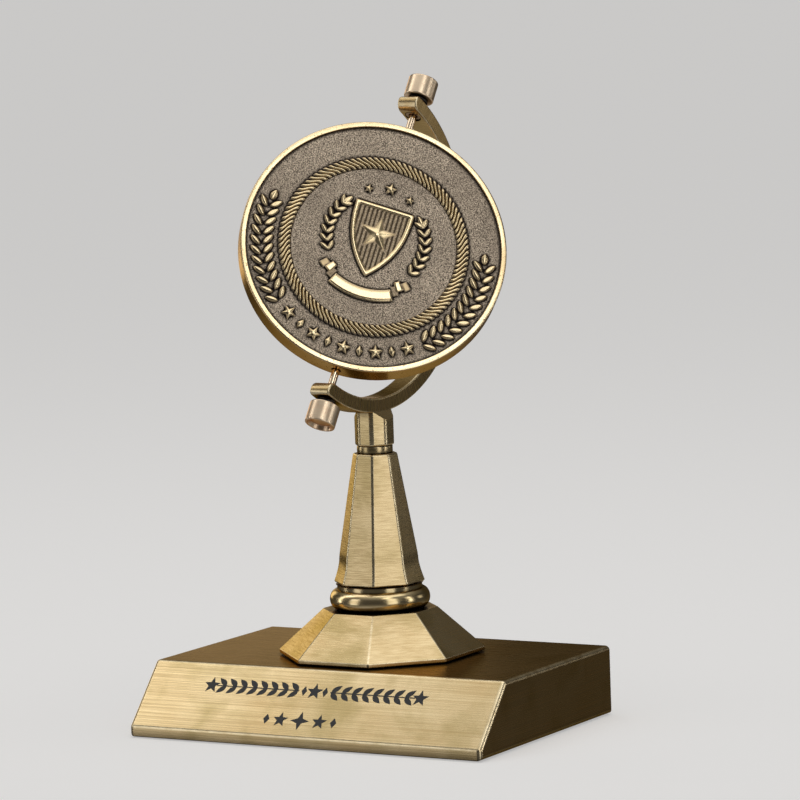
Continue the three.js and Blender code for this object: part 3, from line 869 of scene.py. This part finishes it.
def collar():
    """Octagonal block, cut to the arm's underside, with shoulders that slope up to the arm's sides."""
    low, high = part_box("collar")
    bottom, top = low.z / MM, high.z / MM + COLLAR_SPARE
    points = cad_points("collar")
    radius = np.hypot(points[:, 0], points[:, 1]).max()
    profile = [(COLLAR_BORE, bottom), (radius, bottom), (radius, top), (COLLAR_BORE, top)]
    profile = rounded_corners(profile, [0, COLLAR_FOOT_ROUNDING, 0, 0], 6)
    block = octagonal("collar_block", profile, COLLAR_ROUNDING)
    disc = arc(0, 0, ARM_OUTER - SEAT_DEPTH, 0, 360, ARC_STEPS)[:-1]
    seat = extruded("collar_seat", disc, ARM_HALF_WIDTH - SEAT_GRIP, ARM_ROUNDING, ARC @ SECTION_OF_HEAD)
    carve(block, seat)
    level_side = ARM_SIDE * (1, 1, 0)
    upright = placement(level_side, (0, 0, 1), np.cross(level_side, (0, 0, 1)), (0, 0, 0))
    ridge = ARC.translation.z - ARM_OUTER + SHOULDER_RIDGE
    inner, outer = SHOULDER_SPAN
    slope = [(inner, ridge - inner), (outer, ridge - outer), (outer, ridge + outer), (inner, ridge + outer)]
    for side in (-1, 1):
        wedge = [(side * across, height, 0) for across, height in slope]
        carve(block, extruded("collar_shoulder", wedge, SHOULDER_CUT, ARM_ROUNDING, upright))
    soften = block.modifiers.new("soften", "BEVEL")
    soften.width = COLLAR_SOFTENING * MM
    soften.segments = 3
    soften.limit_method = "ANGLE"
    soften.angle_limit = math.radians(30)
    block.modifiers.move(len(block.modifiers) - 1, 0)
    place(block, COLUMN_BRASS, "stand", "column_brass", "collar")


# ---------------------------------------------------------------- head

# Turns a flat outline, x to the back and y up the pivot axis, into the head frame
SECTION_OF_HEAD = Matrix(((0, 0, 1, 0), (1, 0, 0, 0), (0, 1, 0, 0), (0, 0, 0, 1)))
ARM_OUTER = float(np.hypot(*in_frame(ARC, cad_points("arm"))[:, 1:].T).max())
ARM_HALF_WIDTH = float(in_frame(HEAD, cad_points("arm"))[:, 0].max())


def arm():
    """The C-shaped bar, drawn with x towards the back and y up the pivot axis."""
    inner = ARM_OUTER - ARM_THICKNESS
    end = in_frame(ARC, cad_points("arm"))[:, 1].min()
    inner_x = end + ARM_INNER_CORNER
    inner_y = math.sqrt((inner + ARM_INNER_CORNER) ** 2 - inner_x ** 2)
    lean = math.degrees(math.asin(inner_x / (inner + ARM_INNER_CORNER)))
    upper_end = [
        *arc(end + ARM_CORNER, ARM_OUTER - ARM_CORNER, ARM_CORNER, 90, 180, 8, 1),
        *arc(inner_x, inner_y, ARM_INNER_CORNER, 180, 270 - lean, 10, 0.6)[:-1],
    ]
    lower_end = [(x, -y, worn) for x, y, worn in reversed(upper_end)]
    outline = [
        *arc(0, 0, ARM_OUTER, -90, 90, ARC_STEPS), *upper_end,
        *arc(0, 0, inner, 90 - lean, lean - 90, ARC_STEPS), *lower_end,
    ]
    bar = extruded("arm_bar", outline, ARM_HALF_WIDTH, ARM_ROUNDING, ARC @ SECTION_OF_HEAD)
    drill(bar, ARM_BORE, -BORE_REACH, BORE_REACH, HEAD)
    place(bar, SHADED_ARM_BRASS, "stand", "arm_brass", "arm")


def head_frame(end):
    """The head frame, turned over for the lower end."""
    return HEAD if end == "upper" else HEAD @ Matrix.Rotation(math.pi, 4, "X")


def knob(end):
    along = np.abs(in_frame(HEAD, cad_points(end + "_knob"))[:, 2])
    inner, outer = along.min(), along.max()
    socket, floor = inner + KNOB_SOCKET, outer - KNOB_RECESS_DEPTH
    dish = floor + KNOB_DISH_RISE
    profile = [
        (KNOB_BORE, inner), (KNOB_RADIUS, inner), (KNOB_RADIUS, outer), (KNOB_RECESS, outer),
        (KNOB_RECESS - KNOB_DRAFT, floor), (KNOB_DISH, dish), (0, dish),
    ]
    profile = rounded_corners(profile, KNOB_ROUNDINGS)
    profile = [(0, socket), (KNOB_BORE, socket), *profile]
    piece = lathe(end + "_knob_turning", profile, head_frame(end))
    place(piece, ROSE_COPPER, end + "_pivot", "rose_copper", end + "_knob")


def pin(end):
    along = np.abs(in_frame(HEAD, cad_points(end + "_pivot_pin"))[:, 2])
    tip, tail = along.min(), min(along.max(), PIN_END)
    profile = [(0, tip), (PIN_POINT, tip), (PIN_RADIUS, tip + PIN_POINT), (PIN_RADIUS, tail), (0, tail)]
    piece = lathe(end + "_pin_turning", profile, head_frame(end), BORE_SIDES)
    place(piece, PIN_COPPER, end + "_pivot", "rose_copper", end + "_pivot_pin")


# ---------------------------------------------------------------- coin

def disc_grid(radius, cells):
    """A square grid of points stretched to fill a disc."""
    line = np.linspace(-1, 1, cells + 1)
    u, v = np.meshgrid(line, line, indexing="ij")
    return radius * u * np.sqrt(1 - v * v / 2), radius * v * np.sqrt(1 - u * u / 2)


def polygon_distance(x, z, corners):
    """Signed distance to a polygon, negative inside."""
    corners = np.array(corners, float)
    distance = np.full(x.shape, 1e9)
    inside = np.zeros(x.shape, bool)
    for start, end in zip(corners, np.roll(corners, -1, axis=0)):
        edge = end - start
        px, pz = x - start[0], z - start[1]
        t = np.clip((px * edge[0] + pz * edge[1]) / (edge @ edge), 0, 1)
        distance = np.minimum(distance, np.hypot(px - edge[0] * t, pz - edge[1] * t))
        crosses = (start[1] > z) != (end[1] > z)
        if edge[1] != 0:
            inside ^= crosses & (x < edge[0] * (z - start[1]) / edge[1] + start[0])
    return np.where(inside, -distance, distance)


def star_corners(points, outer, inner, centre=(0, 0), turn=0.0):
    corners = []
    for index in range(2 * points):
        radius = outer if index % 2 == 0 else inner
        angle = turn + math.pi * index / points
        corners.append((centre[0] + radius * math.sin(angle), centre[1] + radius * math.cos(angle)))
    return corners


def raise_plate(height, distance, top, bevel=0.22):
    """Lifts what lies inside a signed distance to a flat top with sloped sides."""
    return np.maximum(height, top * smooth(-distance, 0, bevel))


def ring_grid(inner, outer, steps, rows):
    """Points on a flat ring: the first index goes round, the second goes outwards."""
    angle = np.arange(steps) * 2 * np.pi / steps
    radius = np.linspace(inner, outer, rows + 1)
    return np.outer(np.cos(angle), radius), np.outer(np.sin(angle), radius)


def raise_facets(height, distance, edge, slope, top):
    """Lifts what lies inside a signed distance to slopes that meet in ridges."""
    return np.maximum(height, np.clip(edge - distance * slope, 0, top) * smooth(-distance, 0, 0.12))


def rope_border(x, z, height):
    radius = np.hypot(x, z)
    offset = (radius - ROPE_RADIUS) / ROPE_HALF_WIDTH
    lean = ROPE_LEAN * (radius / ROPE_RADIUS - 1) + ROPE_CURL * np.sin(np.pi * np.clip(offset, -1, 1))
    phase = (np.arctan2(z, x) - lean) * ROPE_STRANDS / (2 * np.pi)
    across = np.abs(phase - np.round(phase)) * 2
    strand = np.sqrt(np.clip(1 - (across / ROPE_FILL) ** 2, 0, 1))
    body = np.sqrt(np.clip(1 - offset ** 4, 0, 1))
    return np.maximum(height, RELIEF * strand * body)


def leaf(x, z, height, centre, direction, length, width, top):
    """A pointed leaf along a direction, rounded across."""
    dx, dz = x - centre[0], z - centre[1]
    along = (dx * direction[0] + dz * direction[1]) / (length / 2)
    across = (dx * direction[1] - dz * direction[0]) / (width / 2)
    outline = np.clip(1 - np.abs(along) ** 2.2, 0, 1) ** 0.85
    ratio = np.abs(across) / np.maximum(outline, 1e-6)
    dome = np.sqrt(np.clip(1 - ratio ** 2, 0, 1)) * smooth(outline, 0, 0.35)
    return np.maximum(height, top * dome)


def laurels(x, z, height):
    """Leaves in pairs up each side of the border, with one at the tip."""
    tip, start, end = np.radians(LAUREL_SPAN)
    spread = math.radians(LAUREL_SPREAD)
    for side in (-1, 1):
        def point(angle, radius):
            return np.array([side * radius * math.sin(angle), radius * math.cos(angle)])

        def forward(angle):
            return unit(point(angle - 0.02, BORDER_RADIUS) - point(angle, BORDER_RADIUS))

        height = leaf(x, z, height, point(tip, LAUREL_TIP_RADIUS), forward(tip), *LAUREL_TIP)
        for angle in np.linspace(start, end, LAUREL_PAIRS):
            outward = unit(point(angle, BORDER_RADIUS))
            for lean, radius in LAUREL_ROWS:
                direction = forward(angle) * math.cos(spread) + lean * outward * math.sin(spread)
                centre = point(angle + LAUREL_SLIP * lean, radius)
                height = leaf(x, z, height, centre, unit(direction), *LAUREL_LEAF)
    return height


def border_stars(x, z, height):
    """Stars and lozenges along the lower border."""
    for index in range(BORDER_STARS):
        angle = math.radians(180 + (index - (BORDER_STARS - 1) / 2) * BORDER_STAR_PITCH)
        centre = (BORDER_RADIUS * math.sin(angle), BORDER_RADIUS * math.cos(angle))
        if index % 2 == 0:
            corners = star_corners(5, *BORDER_STAR, centre, angle + math.pi)
        else:
            corners = star_corners(2, *BORDER_LOZENGE, centre, angle)
        height = raise_facets(height, polygon_distance(x, z, corners), 0.28, 0.5, 0.62)
    return height


def shield_corners():
    """A heater shield, as points down one side and up the other."""
    side = []
    for step in range(17):
        t = step / 16
        side.append((SHIELD_HALF_WIDTH * (1 - t ** 2.7), SHIELD_TOP - SHIELD_LENGTH * t))
    return [(-x, z) for x, z in side] + side[::-1][1:]


def ribbon(x, z, height):
    """A blank scroll below the emblem, with folded tails."""
    radius, centre_z = RIBBON_RADIUS, RIBBON_CENTRE
    r = np.hypot(x, z - centre_z) - radius
    angle = np.degrees(np.arctan2(x, centre_z - z))
    per_degree = math.radians(radius)
    for middle, width, shift, half, top in RIBBON_TAILS:
        ends = (np.abs(np.abs(angle) - middle) - width) * per_degree
        height = raise_plate(height, np.maximum(np.abs(r + shift) - half, ends), top, 0.25)
    ends = (np.abs(angle) - RIBBON_REACH) * per_degree
    height = raise_plate(height, np.maximum(np.abs(r) - RIBBON_HALF_WIDTH, ends), 0.5, 0.3)
    seam = smooth(0.2 - np.abs(np.abs(r) - RIBBON_SEAM), 0, 0.15) * (ends < -0.5)
    return height - 0.2 * seam


def shield_emblem(x, z, height):
    """A ribbed shield with a star on it, and three small stars above."""
    outline = polygon_distance(x, z, shield_corners())
    height = raise_plate(height, outline, RELIEF, 0.3)
    stripes = 0.10 * smooth(np.abs(np.mod(x / SHIELD_RIB, 1) - 0.5), 0.1, 0.4)
    height = height - (0.42 - stripes) * smooth(-outline, 1.0, 1.25)
    star = polygon_distance(x, z, star_corners(5, 5.6, 2.25, (0, 3.4)))
    height = raise_facets(height, star, 0.24, 0.3, 0.8)
    for *centre, size in SMALL_STARS:
        star = polygon_distance(x, z, star_corners(5, size, 0.42 * size, centre))
        height = raise_facets(height, star, 0.25, 0.5, 0.6)
    return height


def obverse_emblem(x, z, height):
    """A shield with a star between two sprigs, over a blank ribbon."""
    return ribbon(x, z, side_sprigs(x, z, shield_emblem(x, z, height)))


def side_sprigs(x, z, height):
    """An upright sprig each side of the shield, with leaves in pairs and one at the tip."""
    for side in (-1, 1):
        def point(turn):
            across, up = SPRIG_ACROSS * math.sin(turn), SPRIG_UP * math.cos(turn)
            return np.array([side * across, SPRIG_CENTRE + up])

        for turn in np.radians(np.linspace(*SPRIG_SPAN)):
            forward = np.array([-side * math.cos(turn), math.sin(turn)])
            outward = np.array([side * math.sin(turn), math.cos(turn)])
            for lean in (1, -1):
                direction = unit(forward + 0.75 * lean * outward)
                centre = point(turn) + 0.85 * lean * outward + 0.4 * forward
                height = leaf(x, z, height, centre, direction, *SPRIG_LEAF)
        tip = point(math.radians(SPRIG_END))
        height = leaf(x, z, height, tip, unit((-side * 0.64, 0.77)), *SPRIG_TIP)
    return height


def compass_emblem(x, z, height):
    """An eight-pointed star with a boss, in a ring."""
    radius = np.hypot(x, z)
    height = raise_plate(height, np.abs(radius - COMPASS_RING) - 0.45, 0.42, 0.25)
    for outer, inner, turn, slope in COMPASS_POINTS:
        star = polygon_distance(x, z, star_corners(4, outer, inner, (0, 0), turn))
        height = np.maximum(height, np.clip(0.12 - star * slope, 0, 0.75) * (star < 0))
    return np.maximum(height, 0.85 * np.sqrt(np.clip(1 - (radius / COMPASS_BOSS) ** 2, 0, 1)))


def box_blur(values, reach):
    """Mean over a square window, by running sums."""
    padded = np.pad(values, reach + 1, mode="edge")
    total = padded.cumsum(axis=0).cumsum(axis=1)
    size = 2 * reach + 1
    block = total[size:, size:] - total[:-size, size:] - total[size:, :-size] + total[:-size, :-size]
    return block[: values.shape[0], : values.shape[1]] / size ** 2


def relief_tone_and_painted_shade(height, radius):
    """How bright the worn relief is, and how much painted shade with patina lies in the hollow beside it
    and against the rim, for each point of a face.
    """
    near = np.maximum(box_blur(height, 3) - height, 0)
    halo = box_blur(smooth(height, 0.05, 0.25), 5) * (1 - smooth(height, 0.05, 0.3))
    # Painted shade: at the foot of the relief, in a halo round it, and in a ring against the rim.
    cavity = np.clip(near * 5.0 + halo * 2.2, 0, 1)
    cavity = np.maximum(cavity, 0.9 * smooth(radius, FACE_RADIUS - 1.1, FACE_RADIUS - 0.25))
    return {"raised": smooth(height, 0.12, 0.52), "cavity": cavity}


def ring_solid(front, back):
    """A struck ring with a flat back. The first index goes round, the second outwards."""
    rings = [front[:, row] for row in range(front.shape[1])]
    return stitch([*rings, back[:, -1], back[:, 0]], closed_loop=True)


def disc_solid(front, back):
    """A struck disc, given as a square grid, closed by a wall round it and a flat back."""
    points = np.arange(front[..., 0].size).reshape(front.shape[:2])
    cells = np.stack([points[:-1, :-1], points[1:, :-1], points[1:, 1:], points[:-1, 1:]], axis=-1)
    edge = [*points[:, 0], *points[-1, 1:], *points[-2::-1, -1], *points[0, -2:0:-1]]
    below = range(points.size, points.size + len(edge))
    faces = [*cells.reshape(-1, 4), tuple(below)]
    for index in range(len(edge)):
        faces.append((edge[index - 1], below[index - 1], below[index], edge[index]))
    return [*front.reshape(-1, 3), *back.reshape(-1, 3)[edge]], faces


def relief_piece(name, node, x, z, height, solid, side):
    """A closed solid between a struck surface and a flat back. side is -1 for the obverse."""
    depth = np.abs(in_frame(COIN, cad_points(node))[:, 1]).min()
    front = np.stack([-side * x, side * (FIELD_LEVEL + height), z], axis=-1)
    back = front * (1, 0, 1) + (0, side * depth, 0)
    verts, faces = solid(front, back)
    piece = new_object(name, verts, faces, COIN, sharp_degrees=180)
    for label, values in relief_tone_and_painted_shade(height, np.hypot(x, z)).items():
        store(piece.data, label, (values.T if solid is ring_solid else values).ravel())
    place(piece, COIN_BRASS, "coin", "coin_brass", node)


def coin_face(label, emblem, side):
    """One struck face: the emblem in the middle, and the border with rope and laurels round it."""
    node = "coin_" + label
    x, z = disc_grid(BORDER_INNER, EMBLEM_CELLS)
    height = box_blur(emblem(x, z, np.zeros(x.shape)), 1)
    relief_piece(label + "_emblem", node, x, z, height, disc_solid, side)
    x, z = ring_grid(BORDER_INNER, FACE_RADIUS, BORDER_STEPS, BORDER_ROWS)
    height = np.zeros(x.shape)
    for ornament in (rope_border, laurels, border_stars):
        height = ornament(x, z, height)
    relief_piece(label + "_border", node, x, z, height, ring_solid, side)


def coin_rim():
    points = in_frame(COIN, cad_points("coin_rim"))
    radius = np.hypot(points[:, 0], points[:, 2]).max()
    half = np.abs(points[:, 1]).max()
    section = [(RIM_INNER, -half), (radius, -half), (radius, half), (RIM_INNER, half)]
    section = rounded_corners(section, RIM_ROUNDINGS, closed=True)
    upright = Matrix.Rotation(math.radians(90), 4, "X")
    ring = lathe("coin_rim_band", section, COIN @ upright, RIM_SIDES)
    drill(ring, RIM_BORE, -BORE_REACH, BORE_REACH, COIN)
    place(ring, RIM_BRASS, "coin", "rim_brass", "coin_rim")
    ring.data.materials.append(BAND_BRASS)
    for face in ring.data.polygons:
        across = abs((COIN.to_3x3().transposed() @ face.normal).y)
        face.material_index = 1 if across < 0.6 else 0


# ---------------------------------------------------------------- engraving on the slope

def plaque_frame():
    """x along the plinth, y up the slope, z out of it, with the origin at the slope's lower edge."""
    outline = plinth_outline()
    top, foot = np.array(outline[3]), np.array(outline[4])
    rise = unit(top - foot)
    y_axis = np.array([0, rise[0], rise[1]])
    x_axis = np.array([1.0, 0, 0])
    return placement(x_axis, y_axis, np.cross(x_axis, y_axis), (0, foot[0], foot[1]))


def leaf_outline(centre, direction, length, width, steps=7):
    direction = unit(direction)
    across = np.array([-direction[1], direction[0]])
    points = []
    for side in (1, -1):
        for step in range(steps):
            t = step / steps if side > 0 else 1 - step / steps
            bulge = side * width / 2 * math.sin(math.pi * t ** 0.8)
            points.append(centre + direction * length * (t - 0.5) + across * bulge)
    return points


def inlays():
    """Flat outlines of the ornament: a sprig row with stars, and a short row below it."""
    shapes = []
    middle = INLAY_LEAVES // 2
    for index in range(INLAY_LEAVES + 1):
        x = INLAY_START + index * INLAY_STEP
        if index in (0, middle, INLAY_LEAVES):
            shapes.append(star_corners(5, *INLAY_STAR, (x, UPPER_ROW)))
        elif abs(index - middle) == 1:
            shapes.append(star_corners(2, *INLAY_LOZENGE, (x, UPPER_ROW)))
        else:
            outwards = -1 if index < middle else 1
            for lean in (1, -1):
                centre = np.array([x, UPPER_ROW + lean * 1.2])
                shapes.append(leaf_outline(centre, (outwards, lean * 0.8), *INLAY_LEAF))
            shapes.append(bar_outline(x, UPPER_ROW, INLAY_STEP / 2, STEM_HALF_WIDTH))
    for x, points, outer, inner in LOWER_STARS:
        shapes.append(star_corners(points, outer, inner, (x, LOWER_ROW)))
    return shapes


def bar_outline(x, y, half_length, half_width):
    corners = ((-1, -1), (1, -1), (1, 1), (-1, 1))
    return [(x + right * half_length, y + up * half_width) for right, up in corners]


def engraving():
    verts, faces = [], []
    for shape in inlays():
        first, count = len(verts), len(shape)
        for height in (-INLAY_DEPTH, INLAY_PROUD):
            faces.append(tuple(range(len(verts), len(verts) + count)))
            verts += [(x, y, height) for x, y in shape]
        for index in range(first, first + count):
            following = first + (index + 1 - first) % count
            faces.append((index, following, following + count, index + count))
    piece = new_object("plaque_ornament", verts, faces, plaque_frame())
    place(piece, ENGRAVING, "stand", "plinth_brass")


# ---------------------------------------------------------------- assembly

def assemble():
    plinth()
    engraving()
    foot_outline = without_hollows(outer_profile("foot"))
    rims = [FOOT_RIM_ROUNDING] * len(foot_outline)
    octagonal_piece("foot", foot_outline, rims, FOOT_ROUNDING, FOOT_BRASS)
    bead()
    column_outline = outer_profile("column")
    flares = [FLARE_RADIUS] * (len(column_outline) - 2)
    flares = [COLUMN_FOOT_ROUNDING, *flares, COLUMN_TOP_ROUNDING]
    octagonal_piece("column", column_outline, flares, COLUMN_ROUNDING, COLUMN_BRASS)
    neck()
    collar()
    arm()
    for end in ("upper", "lower"):
        knob(end)
        pin(end)
    coin_rim()
    coin_face("obverse", obverse_emblem, -1)
    coin_face("reverse", compass_emblem, 1)


def dress_cad_nodes():
    """Materials for the CAD nodes that stay."""
    looks = {
        "felt_pad": BLACK_FELT, "base_plate": PLATE_STEEL, "plinth_weight": WEIGHT_IRON,
        "upper_arm_bush": BRONZE, "lower_arm_bush": BRONZE,
        "upper_coin_bush": BRONZE, "lower_coin_bush": BRONZE,
        "upper_thrust_washer": DARK_STEEL, "lower_thrust_washer": DARK_STEEL,
    }
    for name, obj in frame["nodes"].items():
        obj.data.materials.clear()
        obj.data.materials.append(looks.get(name, STEEL))


# ---------------------------------------------------------------- camera, floor and light

def camera():
    back = Vector((
        math.sin(CAMERA_AZIMUTH) * math.cos(CAMERA_ELEVATION),
        -math.cos(CAMERA_AZIMUTH) * math.cos(CAMERA_ELEVATION),
        math.sin(CAMERA_ELEVATION),
    ))
    right = Vector((math.cos(CAMERA_AZIMUTH), math.sin(CAMERA_AZIMUTH), 0))
    up = back.cross(right)
    turned_right = right * math.cos(CAMERA_ROLL) + up * math.sin(CAMERA_ROLL)
    turned_up = up * math.cos(CAMERA_ROLL) - right * math.sin(CAMERA_ROLL)
    data = bpy.data.cameras.new("camera")
    data.lens = CAMERA_LENS
    data.sensor_width = CAMERA_SENSOR
    obj = bpy.data.objects.new("camera", data)
    obj.matrix_world = placement(turned_right, turned_up, back, CAMERA_TARGET + back * CAMERA_DISTANCE)
    bpy.context.scene.collection.objects.link(obj)
    bpy.context.scene.camera = obj


def area_light(name, position, size, radiance):
    """A softbox that faces the trophy. Its power follows from how bright its surface is."""
    data = bpy.data.lights.new(name, "AREA")
    data.shape = "RECTANGLE"
    data.size, data.size_y = size
    data.energy = radiance * math.pi * size[0] * size[1]
    obj = bpy.data.objects.new(name, data)
    obj.location = position
    direction = LIGHT_FOCUS - Vector(position)
    obj.rotation_euler = direction.to_track_quat("-Z", "Y").to_euler()
    obj.visible_diffuse = name == "overhead"
    bpy.context.scene.collection.objects.link(obj)


def stage_piece(name, verts, faces, material):
    """Part of the studio. Reflections don't show it."""
    mesh = bpy.data.meshes.new(name)
    mesh.from_pydata(verts, [], faces)
    mesh.shade_smooth()
    mesh.materials.append(material)
    obj = bpy.data.objects.new(name, mesh)
    bpy.context.scene.collection.objects.link(obj)
    obj.visible_glossy = False
    return obj


def backdrop(material):
    """A wall all round that rises from the floor in a wide curve. Only the camera sees it."""
    verts, faces = [], []
    for row in range(WALL_ROWS + 1):
        rise = 0.5 * math.pi * row / WALL_ROWS
        radius = FLOOR_REACH + WALL_HEIGHT * math.sin(rise)
        height = WALL_LIFT + WALL_HEIGHT * (1 - math.cos(rise))
        verts += [(x, y, height) for x, y, _ in arc(0, 0, radius, 0, 360, WALL_SIDES)[:-1]]
    for start in range(WALL_ROWS * WALL_SIDES):
        following = start + 1 if (start + 1) % WALL_SIDES else start + 1 - WALL_SIDES
        faces.append((start, start + WALL_SIDES, following + WALL_SIDES, following))
    wall = stage_piece("backdrop", verts, faces, material)
    wall.visible_diffuse = False
    wall.visible_shadow = False


def stage():
    material = Shader("floor").set(
        base_color=(0.60, 0.59, 0.58), roughness=0.7, specular=0.0,
        glow_color=(1.0, 0.99, 0.975), glow=FLOOR_GLOW,
    )
    half = 1.5 * FLOOR_REACH
    corners = [(-half, -half, 0), (half, -half, 0), (half, half, 0), (-half, half, 0)]
    stage_piece("floor", corners, [(0, 1, 2, 3)], material)
    backdrop(material)
    surroundings()
    for name, position, size, radiance in SOFTBOXES:
        area_light(name, position, size, radiance)


def surroundings():
    """What the metal reflects besides the lights: a level of grey for each direction up or down."""
    shader = Shader("studio", bpy.data.worlds, "Background")
    bpy.context.scene.world = shader.owner
    upwards = shader.split(shader.node("TexCoord").outputs["Generated"])["Z"]
    ramp = shader.node("ValToRGB", {"Fac": shader.remap(upwards, -1.0, 1.0)})
    shader.feed(shader.surface, {"Color": ramp.outputs["Color"]})
    stops = ramp.color_ramp.elements
    stops[0].position, stops[1].position = SKY[0][0], SKY[-1][0]
    for position, _ in SKY[1:-1]:
        stops.new(position)
    for stop, (position, level) in zip(stops, SKY):
        stop.color = (level, level, level, 1.0)


camera()
assemble()
dress_cad_nodes()
stage()

bpy.context.scene.view_settings.view_transform = "Standard"
